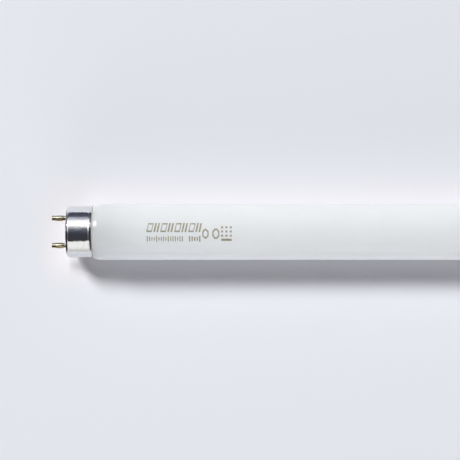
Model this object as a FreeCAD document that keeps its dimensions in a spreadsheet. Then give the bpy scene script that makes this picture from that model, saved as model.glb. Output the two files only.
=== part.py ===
# A fluorescent tube 26 mm across and 1500 mm from cap face to cap face, with a two-pin cap on each end.
# X runs along the tube and Z is up. The origin is the middle of the tube, on its axis. The pins lie level, along Y.
import FreeCAD, Part
import os
from math import atan2, cos, radians, sin, sqrt

import Sketcher
from FreeCAD import Placement, Rotation, Vector

# Driving dimensions in millimetres, and one turn in degrees: name, value, what it measures
DIMENSIONS = [
    ("face_to_face", 1500.0, "between the two cap faces"),
    ("tube_diameter", 26.0, "straight part of the glass"),
    ("neck_step", 2.0, "from the straight glass in to the neck, on one side"),
    ("shoulder_run", 2.4, "from the cap mouth to where the glass is straight"),
    ("shoulder_round", 3.2, "curve of the glass from the tube in towards the cap"),
    ("mouth_gap", 0.12, "between the cap mouth and the step of the glass down to the neck"),
    ("seal_inset", 3.0, "from the cap face to the end of the glass"),
    ("seal_edge", 1.5, "bead where the neck is melted to the stem"),
    ("flare_run", 6.0, "trumpet of the stem, from the end of the glass to the throat"),
    ("stem_bore", 8.8, "throat of the stem"),
    ("stem_depth", 20.0, "from the cap face to the pinch of the stem"),
    ("exhaust_diameter", 4.0, "stub of the exhaust tube in the stem"),
    ("exhaust_inset", 2.8, "from the cap face to the tip of the stub"),
    ("cement_gap", 0.55, "between the neck and the inside of the cap"),
    ("cement_setback", 1.4, "from the cap mouth in to the end of the cement"),
    ("cap_wall", 0.3, "sheet thickness of the cap"),
    ("cap_length", 11.9, "from the cap face to the mouth"),
    ("cap_corner", 1.6, "outside radius between the face and the side"),
    ("cap_crease", 0.65, "bevel of the corner on the inside"),
    ("face_ring", 1.9, "from the side of the cap in to the opening of its face"),
    ("rim_rise", 0.2, "how far the rim at the mouth stands proud"),
    ("rim_run", 1.6, "from where the rim starts to rise to the mouth"),
    ("rim_crest", 0.95, "from the crest of the rim to the mouth"),
    ("rim_fall", 0.15, "from the crest of the rim in to the mouth"),
    ("disc_thickness", 1.8, "insulating disc behind the cap face"),
    ("disc_clearance", 0.05, "between the edge of the disc and the bevel inside the cap"),
    ("pin_spacing", 12.7, "between the two pins"),
    ("pin_length", 7.1, "from the cap face to the pin's end"),
    ("shank_diameter", 2.9, "pin inside the disc, and its hole there"),
    ("root_diameter", 2.2, "pin where it leaves the disc, from where it widens to the crimp"),
    ("pin_diameter", 2.3, "pin past the crimp"),
    ("pin_edge", 0.2, "bevel of the pin's end"),
    ("rivet_diameter", 3.8, "head that holds the pin behind the disc"),
    ("rivet_thickness", 0.4, "thickness of that head"),
    ("crimp_start", 1.6, "from the cap face to the full spread of the crimp"),
    ("crimp_length", 2.95, "full spread along the pin"),
    ("crimp_slope", 0.85, "from the full spread to where the pin is straight"),
    ("crimp_bulge", 0.18, "how far the crimp spreads the pin each side"),
    ("dent_turn", 42.0, "degrees that the dents are turned about the pin, from the top"),
    ("dent_depth", 0.45, "middle of the dent below the crimp"),
    ("dent_round", 8.0, "hollow of the dent along the pin"),
    ("lead_diameter", 0.5, "outer lead wire"),
    ("lead_spread", 6.4, "between the two wires at the pinch"),
    ("lead_tail", 0.6, "wire in line with its pin behind the rivet"),
]

FULL_TURN = 360.0
HALF_TURN = 180.0
QUARTER_TURN = 90.0
# The round corner of the cap is drawn as flats, which keeps its mesh small: the turn from one to the next
FLAT_TURN = 30.0

# The sketcher's own numbers for a curve's points and for a sketch's axes
START, END, CENTRE = range(1, 4)
HORIZONTAL_AXIS, VERTICAL_AXIS = range(-1, -3, -1)
SKETCH_ORIGIN = (HORIZONTAL_AXIS, START)


def number(length):
    """The plain value of a size, or the number itself."""
    return length.value if isinstance(length, Size) else float(length)


class Size:
    """A length that holds both its value and the sheet formula that it comes from."""

    def __init__(self, value, formula):
        self.value = value
        self.formula = formula

    def joined(self, value, sign, other):
        second = other.formula if isinstance(other, Size) else other
        return Size(value, f"({self.formula} {sign} {second})")

    def __add__(self, other):
        return self.joined(self.value + number(other), "+", other)

    def __sub__(self, other):
        return self.joined(self.value - number(other), "-", other)

    def __mul__(self, other):
        return self.joined(self.value * number(other), "*", other)

    def __truediv__(self, other):
        return self.joined(self.value / number(other), "/", other)

    def __neg__(self):
        return Size(-self.value, f"(0 - {self.formula})")


doc = FreeCAD.newDocument("FluorescentTube")
sheet = doc.addObject("Spreadsheet::Sheet", "Sizes")
size = {}
for row, (alias, value, meaning) in enumerate(DIMENSIONS, start=1):
    sheet.set(f"A{row}", alias)
    sheet.set(f"B{row}", str(value))
    sheet.set(f"C{row}", meaning)
    sheet.setAlias(f"B{row}", alias)
    size[alias] = Size(value, f"Sizes.{alias}")
doc.recompute()

# Places that several pieces share, measured outwards from the axis or inwards from the cap face
tubeRadius = size["tube_diameter"] / 2
neckRadius = tubeRadius - size["neck_step"]
capInside = neckRadius + size["cement_gap"]
capRadius = capInside + size["cap_wall"]
openingRadius = capRadius - size["face_ring"]
shankRadius = size["shank_diameter"] / 2
pinRadius = size["pin_diameter"] / 2
leadRadius = size["lead_diameter"] / 2
discBack = size["cap_wall"] + size["disc_thickness"]
rivetBack = discBack + size["rivet_thickness"]
throat = size["seal_inset"] + size["flare_run"]


def newBody(label):
    body = doc.addObject("PartDesign::Body", label)
    body.Label = label
    return body


def newSketch(body, name, role):
    plane = next(feature for feature in body.Origin.OriginFeatures if feature.Role == role)
    sketch = body.newObject("Sketcher::SketchObject", name)
    sketch.AttachmentSupport = (plane, [""])
    sketch.MapMode = "FlatFace"
    return sketch


def dimension(sketch, kind, places, length):
    """A dimension in the sketch that takes its value from the sheet."""
    made = sketch.addConstraint(Sketcher.Constraint(kind, *places, length.value))
    sketch.setExpression(f"Constraints[{made}]", length.formula)


def circleAt(sketch, x, radius):
    """A circle centred on the sketch's horizontal axis."""
    circle = sketch.addGeometry(Part.Circle(Vector(x.value, 0, 0), Vector(0, 0, 1), radius.value), False)
    sketch.addConstraint(Sketcher.Constraint("PointOnObject", circle, CENTRE, HORIZONTAL_AXIS))
    if x.value < 0:
        dimension(sketch, "DistanceX", (circle, CENTRE, *SKETCH_ORIGIN), -x)
    else:
        dimension(sketch, "DistanceX", (*SKETCH_ORIGIN, circle, CENTRE), x)
    dimension(sketch, "Radius", (circle,), radius)


class Outline:
    """A chain of lines and arcs in a sketch.

    A coordinate given as a Size becomes a dimension, 0 lies on the sketch's axis, None keeps the last point's value,
    and a plain number is a first guess that the other curves settle.
    """

    def __init__(self, sketch, x, y):
        self.sketch = sketch
        self.first = (x, y)
        self.here = (number(x), number(y))
        self.firstEnd = None
        self.lastEnd = None

    def place(self, geometry, position, x, y):
        for coordinate, kind, axis in ((x, "DistanceX", VERTICAL_AXIS), (y, "DistanceY", HORIZONTAL_AXIS)):
            if isinstance(coordinate, Size) and coordinate.value < 0:
                dimension(self.sketch, kind, (geometry, position, *SKETCH_ORIGIN), -coordinate)
            elif isinstance(coordinate, Size):
                dimension(self.sketch, kind, (*SKETCH_ORIGIN, geometry, position), coordinate)
            elif coordinate is not None and coordinate == 0:
                self.sketch.addConstraint(Sketcher.Constraint("PointOnObject", geometry, position, axis))

    def join(self, geometry, start, end, smooth):
        if self.lastEnd is None:
            self.firstEnd = (geometry, start)
            self.place(geometry, start, *self.first)
        else:
            kind = "Tangent" if smooth else "Coincident"
            self.sketch.addConstraint(Sketcher.Constraint(kind, *self.lastEnd, geometry, start))
        self.lastEnd = (geometry, end)

    def line(self, x=None, y=None, smooth=False):
        end = (self.here[0] if x is None else number(x), self.here[1] if y is None else number(y))
        geometry = self.sketch.addGeometry(Part.LineSegment(Vector(*self.here, 0), Vector(*end, 0)), False)
        self.join(geometry, START, END, smooth)
        if x is None:
            self.sketch.addConstraint(Sketcher.Constraint("Vertical", geometry))
        if y is None:
            self.sketch.addConstraint(Sketcher.Constraint("Horizontal", geometry))
        self.place(geometry, END, x, y)
        self.here = end

    def arc(self, x, y, centre, radius):
        end = (number(x), number(y))
        middle = (number(centre[0]), number(centre[1]))
        start = (self.here[0] - middle[0], self.here[1] - middle[1])
        stop = (end[0] - middle[0], end[1] - middle[1])
        circle = Part.Circle(Vector(*middle, 0), Vector(0, 0, 1), radius.value)
        startAngle = atan2(start[1], start[0])
        stopAngle = atan2(stop[1], stop[0])
        anticlockwise = start[0] * stop[1] - start[1] * stop[0] > 0
        angles = (startAngle, stopAngle) if anticlockwise else (stopAngle, startAngle)
        geometry = self.sketch.addGeometry(Part.ArcOfCircle(circle, *angles), False)
        self.join(geometry, *((START, END) if anticlockwise else (END, START)), False)
        dimension(self.sketch, "Radius", (geometry,), radius)
        self.place(geometry, self.lastEnd[1], x, y)
        self.here = end

    def flats(self, centre, radius):
        """A quarter round from the point at -X of its centre to the one at +Y, as flats with their corners on it."""
        for step in range(1, round(QUARTER_TURN / FLAT_TURN) + 1):
            angle = radians(FLAT_TURN * step)
            self.line(x=centre[0] - radius * cos(angle), y=centre[1] + radius * sin(angle))

    def close(self):
        first = (number(self.first[0]), number(self.first[1]))
        geometry = self.sketch.addGeometry(Part.LineSegment(Vector(*self.here, 0), Vector(*first, 0)), False)
        self.join(geometry, START, END, False)
        self.sketch.addConstraint(Sketcher.Constraint("Coincident", geometry, END, *self.firstEnd))


def turned(body, sketch, kind="Revolution"):
    """A full turn of the sketch about its horizontal axis, which adds material or, as a Groove, cuts it."""
    feature = body.newObject(f"PartDesign::{kind}", sketch.Name + "_turned")
    feature.Profile = sketch
    feature.ReferenceAxis = (sketch, ["H_Axis"])
    feature.Angle = FULL_TURN
    return feature


def mirrored(body, feature, role):
    copy = body.newObject("PartDesign::Mirrored", feature.Name + "_mirrored")
    copy.Originals = [feature]
    plane = next(item for item in body.Origin.OriginFeatures if item.Role == role)
    copy.MirrorPlane = (plane, [""])
    body.Tip = copy


def glassTube(label):
    """The sealed glass, drawn as one half and mirrored: exhaust stub, stem, seal bead, neck, shoulder and tube."""
    body = newBody(label)
    middle = size["face_to_face"] / 2
    stubTip = middle - size["exhaust_inset"]
    glassEnd = middle - size["seal_inset"]
    step = middle - size["cap_length"] - size["mouth_gap"]
    straight = middle - size["cap_length"] - size["shoulder_run"]
    shoulder = size["shoulder_round"]
    shoulderCentre = (straight, tubeRadius - shoulder)
    stepTop = shoulderCentre[1].value + sqrt(shoulder.value**2 - (step - straight).value ** 2)

    outline = Outline(newSketch(body, label + "_outline", "XZ_Plane"), 0, 0)
    outline.line(x=stubTip)
    outline.line(y=size["exhaust_diameter"] / 2)
    outline.line(x=middle - size["stem_depth"])
    outline.line(y=size["stem_bore"] / 2)
    outline.line(x=middle - throat)
    outline.line(x=glassEnd, y=neckRadius - size["seal_edge"])
    outline.line(x=glassEnd - size["seal_edge"], y=neckRadius)
    outline.line(x=step)
    outline.line(y=stepTop)
    outline.arc(straight, tubeRadius, shoulderCentre, shoulder)
    outline.line(x=0, smooth=True)
    outline.close()
    mirrored(body, turned(body, outline.sketch), "YZ_Plane")
    return body


def capShell(label):
    """The drawn aluminium cup: a face turned in over the disc, a round corner and a rolled rim at the mouth."""
    body = newBody(label)
    wall = size["cap_wall"]
    corner = size["cap_corner"]
    crease = size["cap_crease"]
    cornerCentre = (corner, capRadius - corner)
    rimRadius = capRadius + size["rim_rise"]
    rimStart = size["cap_length"] - size["rim_run"]
    rimCrest = size["cap_length"] - size["rim_crest"]

    outline = Outline(newSketch(body, label + "_outline", "XZ_Plane"), 0, openingRadius)
    outline.line(y=cornerCentre[1])
    outline.flats(cornerCentre, corner)
    outline.line(x=rimStart)
    outline.line(x=rimCrest, y=rimRadius)
    outline.line(x=size["cap_length"], y=rimRadius - size["rim_fall"])
    outline.line(y=capInside)
    outline.line(x=wall + crease)
    outline.line(x=wall, y=capInside - crease)
    outline.line(y=openingRadius)
    outline.close()
    turned(body, outline.sketch)
    return body


def insulatingDisc(label):
    """The disc behind the cap face, inside the bevel of the cap's corner, with two holes for the pins."""
    body = newBody(label)
    discRadius = capInside - size["cap_crease"] - size["disc_clearance"]
    outline = Outline(newSketch(body, label + "_outline", "XZ_Plane"), size["cap_wall"], 0)
    outline.line(y=discRadius)
    outline.line(x=discBack)
    outline.line(y=0)
    outline.close()
    turned(body, outline.sketch)

    holes = newSketch(body, label + "_holes", "YZ_Plane")
    for side in (1, -1):
        circleAt(holes, size["pin_spacing"] * side / 2, shankRadius)
    pocket = body.newObject("PartDesign::Pocket", label + "_drilled")
    pocket.Profile = holes
    pocket.Type = "ThroughAll"
    pocket.Reversed = True
    return body


def contactPin(label):
    """The hollow pin: rivet head, shank in the disc, barrel spread by the crimp and bevelled end, towards -X."""
    body = newBody(label)
    crest = pinRadius + size["crimp_bulge"]
    crimpStart = -size["crimp_start"]
    crimpEnd = crimpStart - size["crimp_length"]

    outline = Outline(newSketch(body, label + "_outline", "XZ_Plane"), rivetBack, leadRadius)
    outline.line(y=size["rivet_diameter"] / 2)
    outline.line(x=discBack)
    outline.line(y=shankRadius)
    outline.line(x=size["cap_wall"])
    outline.line(y=size["root_diameter"] / 2)
    outline.line(x=crimpStart, y=crest)
    outline.line(x=crimpEnd)
    outline.line(x=crimpEnd - size["crimp_slope"], y=pinRadius)
    outline.line(x=size["pin_edge"] - size["pin_length"])
    outline.line(x=-size["pin_length"], y=pinRadius - size["pin_edge"])
    outline.line(y=leadRadius)
    outline.close()
    turned(body, outline.sketch)

    # The crimping jaws leave an eye-shaped hollow above and below
    hollow = newSketch(body, label + "_hollow", "XZ_Plane")
    hollow.setExpression("AttachmentOffset.Base.y", (crest - size["dent_depth"] + size["dent_round"]).formula)
    circleAt(hollow, (crimpStart + crimpEnd) / 2, size["dent_round"])
    doc.recompute()
    pocket = body.newObject("PartDesign::Pocket", label + "_pressed")
    pocket.Profile = hollow
    pocket.Type = "ThroughAll"
    pocket.Midplane = True
    mirrored(body, pocket, "XY_Plane")
    return body


def cementRing(label):
    """The cement between the cap and the neck of the glass, up against the disc."""
    body = newBody(label)
    outline = Outline(newSketch(body, label + "_outline", "XZ_Plane"), discBack, neckRadius)
    outline.line(y=capInside)
    outline.line(x=size["cap_length"] - size["cement_setback"])
    outline.line(y=neckRadius)
    outline.close()
    turned(body, outline.sketch)
    return body


def leadWire(label):
    """The wire from the pinch of the stem to the end of its pin, bent at the throat and behind the rivet."""
    body = newBody(label)
    inner = size["lead_spread"] / 2
    route = Outline(newSketch(body, label + "_route", "XY_Plane"), size["stem_depth"], inner)
    route.line(x=throat)
    route.line(x=rivetBack + size["lead_tail"], y=size["pin_spacing"] / 2)
    route.line(x=-size["pin_length"])

    section = newSketch(body, label + "_section", "YZ_Plane")
    section.setExpression("AttachmentOffset.Base.z", size["stem_depth"].formula)
    circleAt(section, inner, leadRadius)
    doc.recompute()
    pipe = body.newObject("PartDesign::AdditivePipe", label + "_pipe")
    pipe.Profile = section
    pipe.Spine = (route.sketch, [f"Edge{edge + 1}" for edge in range(route.sketch.GeometryCount)])
    pipe.Transition = "Right corner"
    return body


# Where each end stands: its turn about Z, and its X from the middle of the tube
capFace = size["face_to_face"] / 2
ENDS = {"left": (0.0, -capFace), "right": (HALF_TURN, capFace)}
dentTurn = Rotation(Vector(1, 0, 0), size["dent_turn"].value)
# Which side of the axis a pin is on: front is -Y and rear is +Y
SIDES = {"front": -size["pin_spacing"] / 2, "rear": size["pin_spacing"] / 2}

subParts = [glassTube("glass_tube")]
for end, (turn, faceX) in ENDS.items():
    endTurn = Rotation(Vector(0, 0, 1), turn)
    endPieces = [
        capShell(f"cap_shell_{end}"),
        insulatingDisc(f"insulating_disc_{end}"),
        cementRing(f"cement_ring_{end}"),
    ]
    for side, offset in SIDES.items():
        pin = contactPin(f"contact_pin_{end}_{side}")
        pin.Placement = Placement(Vector(), endTurn.multiply(dentTurn))
        pin.setExpression("Placement.Base.x", faceX.formula)
        pin.setExpression("Placement.Base.y", offset.formula)
        subParts.append(pin)

        # The wire is drawn towards +Y of its end, so the wire of the other side is turned over
        wire = leadWire(f"lead_wire_{end}_{side}")
        drawnSide = "rear" if end == "left" else "front"
        over = Rotation(Vector(1, 0, 0), 0.0 if side == drawnSide else HALF_TURN)
        wire.Placement = Placement(Vector(), endTurn.multiply(over))
        wire.setExpression("Placement.Base.x", faceX.formula)
        subParts.append(wire)
    for piece in endPieces:
        piece.Placement = Placement(Vector(), endTurn)
        piece.setExpression("Placement.Base.x", faceX.formula)
        subParts.append(piece)
doc.recompute()

for item in doc.Objects:
    if "Invalid" in item.State or "Error" in item.State:
        raise RuntimeError(f"{item.Label} failed: {item.State}")
    if item.TypeId == "Sketcher::SketchObject" and not item.FullyConstrained:
        raise RuntimeError(f"{item.Label} isn't fully constrained")
for part in subParts:
    if part.Shape.isNull() or not part.Shape.isValid() or len(part.Shape.Solids) != 1:
        raise RuntimeError(f"{part.Label} isn't one valid solid")

os.makedirs("parts", exist_ok=True)
for part in subParts:
    part.Shape.exportStep(f"parts/{part.Label}.step")
    print(f"{part.Label}: {part.Shape.Volume:.1f} mm3")
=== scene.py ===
# A fluorescent tube 1.5 m long, lying on a pale floor and seen from straight above its left end
from math import cos, pi, radians, sin, sqrt, tau

import bmesh
import bpy
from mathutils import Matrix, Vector


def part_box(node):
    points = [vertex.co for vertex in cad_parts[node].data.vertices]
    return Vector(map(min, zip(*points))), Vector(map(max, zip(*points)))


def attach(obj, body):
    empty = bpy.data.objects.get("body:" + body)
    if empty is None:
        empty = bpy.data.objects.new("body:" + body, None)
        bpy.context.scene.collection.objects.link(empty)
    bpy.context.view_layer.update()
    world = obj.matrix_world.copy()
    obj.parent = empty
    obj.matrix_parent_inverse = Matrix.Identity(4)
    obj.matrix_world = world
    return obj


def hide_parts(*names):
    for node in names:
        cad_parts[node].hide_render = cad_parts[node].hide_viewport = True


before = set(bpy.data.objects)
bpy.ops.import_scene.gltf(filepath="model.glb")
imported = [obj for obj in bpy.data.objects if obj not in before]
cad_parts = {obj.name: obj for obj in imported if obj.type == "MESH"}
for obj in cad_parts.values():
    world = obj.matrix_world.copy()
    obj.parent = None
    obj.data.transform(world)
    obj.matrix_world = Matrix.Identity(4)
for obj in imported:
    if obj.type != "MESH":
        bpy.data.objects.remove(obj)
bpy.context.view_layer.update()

mm = 0.001
print("frame loaded")


# Where the solids are, read from the frame
def lowest(node):
    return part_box(node)[0]


def highest(node):
    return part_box(node)[1]


tubeRadius = highest("glass_tube").z
floorHeight = lowest("glass_tube").z
capFace = highest("cap_shell_right").x
capMouth = lowest("cap_shell_right").x
rimRadius = highest("cap_shell_right").z
glassEnd = highest("glass_tube").x
pinTip = highest("contact_pin_right_rear").x
pinBack = lowest("contact_pin_right_rear").x
rivetRadius = (highest("contact_pin_right_rear").y - lowest("contact_pin_right_rear").y) / 2
pinOffset = (highest("contact_pin_right_rear").y + lowest("contact_pin_right_rear").y) / 2
ends = {"left": -1, "right": 1}
pinSides = {"front": -1, "rear": 1}


# Small helpers for meshes
def arcPoints(centre, radius, start, stop, steps):
    points = []
    for step in range(steps + 1):
        angle = radians(start + (stop - start) * step / steps)
        points.append((centre[0] + radius * cos(angle), centre[1] + radius * sin(angle)))
    return points


def finishMesh(name, mesh, material, sharpAngle=40.0):
    mesh.set_sharp_from_angle(angle=radians(sharpAngle))
    for polygon in mesh.polygons:
        polygon.use_smooth = True
    piece = bpy.data.objects.new(name, mesh)
    bpy.context.scene.collection.objects.link(piece)
    mesh.materials.append(material)
    return piece


def turnedMesh(name, outline, around, closed=False, centre=(0.0, 0.0), shape=None):
    # Turns an outline of (x, radius) points about a line along X; shape may change a point's radius
    onAxis = 1e-9
    shell = bmesh.new()
    rings = []
    for x, radius in outline:
        if radius < onAxis:
            rings.append([shell.verts.new((x, centre[0], centre[1]))])
            continue
        ring = []
        for turn in range(around):
            angle = tau * turn / around
            reach = shape(x, radius, angle) if shape else radius
            ring.append(shell.verts.new((x, centre[0] + reach * sin(angle), centre[1] + reach * cos(angle))))
        rings.append(ring)
    if closed:
        rings.append(rings[0])
    for here, there in zip(rings, rings[1:]):
        for turn in range(around):
            nextTurn = (turn + 1) % around
            corners = [here[turn % len(here)], here[nextTurn % len(here)]]
            corners += [there[nextTurn % len(there)], there[turn % len(there)]]
            corners = list(dict.fromkeys(corners))
            if len(corners) > 2:
                shell.faces.new(corners)
    bmesh.ops.recalc_face_normals(shell, faces=shell.faces)
    mesh = bpy.data.meshes.new(name)
    shell.to_mesh(mesh)
    shell.free()
    return mesh


# Small helpers for nodes
def fill(tree, node, inputs):
    # Links the inputs that are given as sockets, and sets the others
    for key, value in inputs.items():
        if isinstance(value, bpy.types.NodeSocket):
            tree.links.new(value, node.inputs[key])
        else:
            node.inputs[key].default_value = value
    return node


def addNode(tree, kind, inputs=None, **settings):
    node = tree.nodes.new(kind)
    for key, value in settings.items():
        setattr(node, key, value)
    return fill(tree, node, inputs or {})


def outputOf(tree, kind, inputs=None, **settings):
    return addNode(tree, kind, inputs, **settings).outputs[0]


def mathNode(tree, operation, *values, clamp=False):
    inputs = dict(enumerate(values))
    return outputOf(tree, "ShaderNodeMath", inputs, operation=operation, use_clamp=clamp)


def product(tree, result, *factors):
    for factor in factors:
        result = mathNode(tree, "MULTIPLY", result, factor)
    return result


def weightedSum(tree, values, weights, clamp=False):
    parts = [product(tree, value, weight) for value, weight in zip(values, weights)]
    return mathNode(tree, "ADD", *parts, clamp=clamp)


def absolute(tree, value):
    return mathNode(tree, "ABSOLUTE", value)


def mixColour(tree, factor, first, second, blend="MIX"):
    inputs = {0: factor, 6: first, 7: second}
    return addNode(tree, "ShaderNodeMix", inputs, data_type="RGBA", blend_type=blend).outputs[2]


def rangeNode(tree, value, low, high, newLow, newHigh, smooth=False):
    inputs = {0: value, 1: low, 2: high, 3: newLow, 4: newHigh}
    kind = "SMOOTHSTEP" if smooth else "LINEAR"
    return outputOf(tree, "ShaderNodeMapRange", inputs, interpolation_type=kind)


def rampNode(tree, factor, stops):
    node = addNode(tree, "ShaderNodeValToRGB", {0: factor})
    elements = node.color_ramp.elements
    while len(elements) < len(stops):
        elements.new(0.5)
    for element, (place, colour) in zip(elements, stops):
        element.position = place
        element.color = (*colour, 1.0)
    return node.outputs[0]


def rampAlong(tree, value, stops):
    # The same for stops at any numbers, such as metres
    first, last = stops[0][0], stops[-1][0]
    factor = rangeNode(tree, value, first, last, 0.0, 1.0)
    return rampNode(tree, factor, [((place - first) / (last - first), colour) for place, colour in stops])


def noiseNode(tree, position, scale, detail, roughness=0.5):
    inputs = {"Vector": position, "Scale": scale, "Detail": detail, "Roughness": roughness}
    return outputOf(tree, "ShaderNodeTexNoise", inputs)


def joinVector(tree, parts):
    # The parts are numbered: 0 for X, 1 for Y and 2 for Z
    return outputOf(tree, "ShaderNodeCombineXYZ", parts)


def splitVector(tree, vector):
    return addNode(tree, "ShaderNodeSeparateXYZ", {0: vector}).outputs


def objectPosition(tree):
    return tree.nodes.new("ShaderNodeTexCoord").outputs["Object"]


def bumpFrom(tree, height, strength, distance, **others):
    inputs = {"Height": height, "Strength": strength, "Distance": distance, **others}
    return outputOf(tree, "ShaderNodeBump", inputs)


def newMaterial(name):
    material = bpy.data.materials.new(name)
    material.use_nodes = True
    tree = material.node_tree
    tree.nodes.clear()
    shader = tree.nodes.new("ShaderNodeBsdfPrincipled")
    addNode(tree, "ShaderNodeOutputMaterial", {"Surface": shader.outputs[0]})
    return material, tree, shader


def newGroup(name, kind, output, outputKind, inputs):
    # A node group with one output, and with inputs given as name, kind and default
    group = bpy.data.node_groups.new(name, kind)
    group.interface.new_socket(output, in_out="OUTPUT", socket_type=outputKind)
    for label, inputKind, value in inputs:
        socket = group.interface.new_socket(label, in_out="INPUT", socket_type=inputKind)
        if value is not None:
            socket.default_value = value
    return group, group.nodes.new("NodeGroupInput").outputs, group.nodes.new("NodeGroupOutput").inputs


def useGroup(tree, group, **inputs):
    return outputOf(tree, "ShaderNodeGroup", inputs, node_tree=group)


def scratchGroup():
    # Fine straight scratches: a noise drawn out along one direction, of which only the peaks count
    inputs = [
        ("position", "NodeSocketVector", None),
        ("along", "NodeSocketFloat", 40.0),
        ("across", "NodeSocketFloat", 4000.0),
        ("turn", "NodeSocketFloat", 0.0),
        ("amount", "NodeSocketFloat", 0.3),
    ]
    group, source, result = newGroup("fineScratches", "ShaderNodeTree", "mask", "NodeSocketFloat", inputs)
    spin = joinVector(group, {0: source["turn"], 1: source["turn"]})
    turned = outputOf(group, "ShaderNodeVectorRotate", {0: source["position"], "Rotation": spin},
                      rotation_type="EULER_XYZ")
    stretch = joinVector(group, {0: source["along"], 1: source["across"], 2: source["across"]})
    scaled = outputOf(group, "ShaderNodeVectorMath", {0: turned, 1: stretch}, operation="MULTIPLY")
    noise = noiseNode(group, scaled, 1.0, 3.0)
    # Between these heights of the noise the mask rises, and the amount lowers the first one
    start, full = 0.78, 0.8
    low = mathNode(group, "SUBTRACT", start, source["amount"])
    group.links.new(rangeNode(group, noise, low, full, 0.0, 1.0), result["mask"])
    return group


def speckGroup():
    # Scattered specks of dust or grit: small cells, of which a share is kept
    inputs = [
        ("position", "NodeSocketVector", None),
        ("scale", "NodeSocketFloat", 700.0),
        ("radius", "NodeSocketFloat", 0.12),
        ("share", "NodeSocketFloat", 0.3),
    ]
    group, source, result = newGroup("dustSpecks", "ShaderNodeTree", "mask", "NodeSocketFloat", inputs)
    cells = addNode(group, "ShaderNodeTexVoronoi", {"Vector": source["position"], "Scale": source["scale"]})
    inside = mathNode(group, "LESS_THAN", cells.outputs["Distance"], source["radius"])
    pick = outputOf(group, "ShaderNodeSeparateColor", {0: cells.outputs["Color"]})
    kept = mathNode(group, "LESS_THAN", pick, source["share"])
    group.links.new(product(group, inside, kept), result["mask"])
    return group


scratches = scratchGroup()
specks = speckGroup()

# What a noise mostly stays between
noiseSpan = (0.3, 0.7)

# Glass over white powder
glassFinish = {
    "powder": (0.80, 0.840, 0.852, 1.0),
    "endPaintedShade": (0.715, 0.750, 0.765, 1.0),  # painted shade: greyer towards the ends, by the caps
    "endRun": 70 * mm,                        # how far that reaches from the cap
    "endFade": 1.5,                           # above 1, it gathers nearer to the cap
    "collarPaintedShade": (0.76, 0.75, 0.755, 1.0),  # painted shade on the shoulder, by the cap's mouth
    "collarRun": 2.6 * mm,
    "cloudNoise": (55.0, 3.0),                # scale and detail
    "cloudShade": (0.985, 1.01),
    "dust": (0.5, 0.49, 0.47, 1.0),
    "dustSpecks": {"scale": 420.0, "radius": 0.07, "share": 0.12},
    "dustWeight": 0.35,
    "rippleNoise": (90.0, 1.0),
    "ripple": (0.02, 0.2 * mm),               # strength and height
    "roughness": 0.55,
    "bleed": 54 * mm,                         # how far light spreads in the powder and the glass
    "endBleed": 20 * mm,                      # the same beside the caps
    "bleedRun": 34 * mm,
    "polish": 0.45,                           # how much of the gloss is left along the tube
    "polishRun": (5 * mm, 16 * mm),
    "coatRoughness": 0.24,
    "coatIndex": 1.35,
}


def coatedGlass():
    look = glassFinish
    material, tree, shader = newMaterial("coatedGlass")
    position = objectPosition(tree)
    fromMouth = mathNode(tree, "SUBTRACT", capMouth, absolute(tree, splitVector(tree, position)[0]))
    # Painted shade: the powder greys towards the caps
    nearEnd = rangeNode(tree, fromMouth, 0.0, look["endRun"], 1.0, 0.0)
    nearEnd = mathNode(tree, "POWER", nearEnd, look["endFade"])
    colour = mixColour(tree, nearEnd, look["powder"], look["endPaintedShade"])
    # Painted shade on the shoulder by the cap's mouth
    collar = rangeNode(tree, fromMouth, 0.0, look["collarRun"], 1.0, 0.0, smooth=True)
    colour = mixColour(tree, collar, colour, look["collarPaintedShade"])
    cloud = noiseNode(tree, position, *look["cloudNoise"])
    shade = rangeNode(tree, cloud, *noiseSpan, *look["cloudShade"])
    tint = outputOf(tree, "ShaderNodeCombineColor", {0: shade, 1: shade, 2: shade})
    colour = mixColour(tree, 1.0, colour, tint, blend="MULTIPLY")
    dust = useGroup(tree, specks, position=position, **look["dustSpecks"])
    colour = mixColour(tree, product(tree, dust, look["dustWeight"]), colour, look["dust"])
    ripple = noiseNode(tree, position, *look["rippleNoise"])
    bleed = rangeNode(tree, fromMouth, 0.0, look["bleedRun"], look["endBleed"], look["bleed"])
    fill(tree, shader, {
        "Base Color": colour,
        "Roughness": look["roughness"],
        "Normal": bumpFrom(tree, ripple, *look["ripple"]),
        "Specular IOR Level": 0.0,
        "Subsurface Weight": 1.0,
        "Subsurface Radius": (1.0, 1.0, 1.0),
        "Subsurface Scale": bleed,
        "Coat Weight": rangeNode(tree, fromMouth, *look["polishRun"], 1.0, look["polish"]),
        "Coat Roughness": look["coatRoughness"],
        "Coat IOR": look["coatIndex"],
    })
    return material


# Bright drawn aluminium
aluminiumFinish = {
    "bright": (0.86, 0.86, 0.87, 1.0),
    "dull": (0.77, 0.78, 0.80, 1.0),
    "roughness": (0.07, 0.2),
    "patchNoise": (420.0, 5.0, 0.65),         # scale, detail and roughness
    "patchSpan": (0.42, 0.72),
    "drawnLines": {"along": 120.0, "across": 5200.0, "amount": 0.22},
    "crossLines": {"along": 300.0, "across": 2600.0, "turn": 0.9, "amount": 0.16},
    "wear": (0.6, 0.35),                      # how much of it the patches and the lines give
    "waveNoise": (460.0, 2.5),
    "waves": 0.09 * mm,                       # height of the hammer-soft waves in the sheet
    "relief": (0.8, -0.3),                    # how much the patches stand out and the lines cut in
    "marks": 0.012 * mm,                      # height of that relief
}


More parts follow.
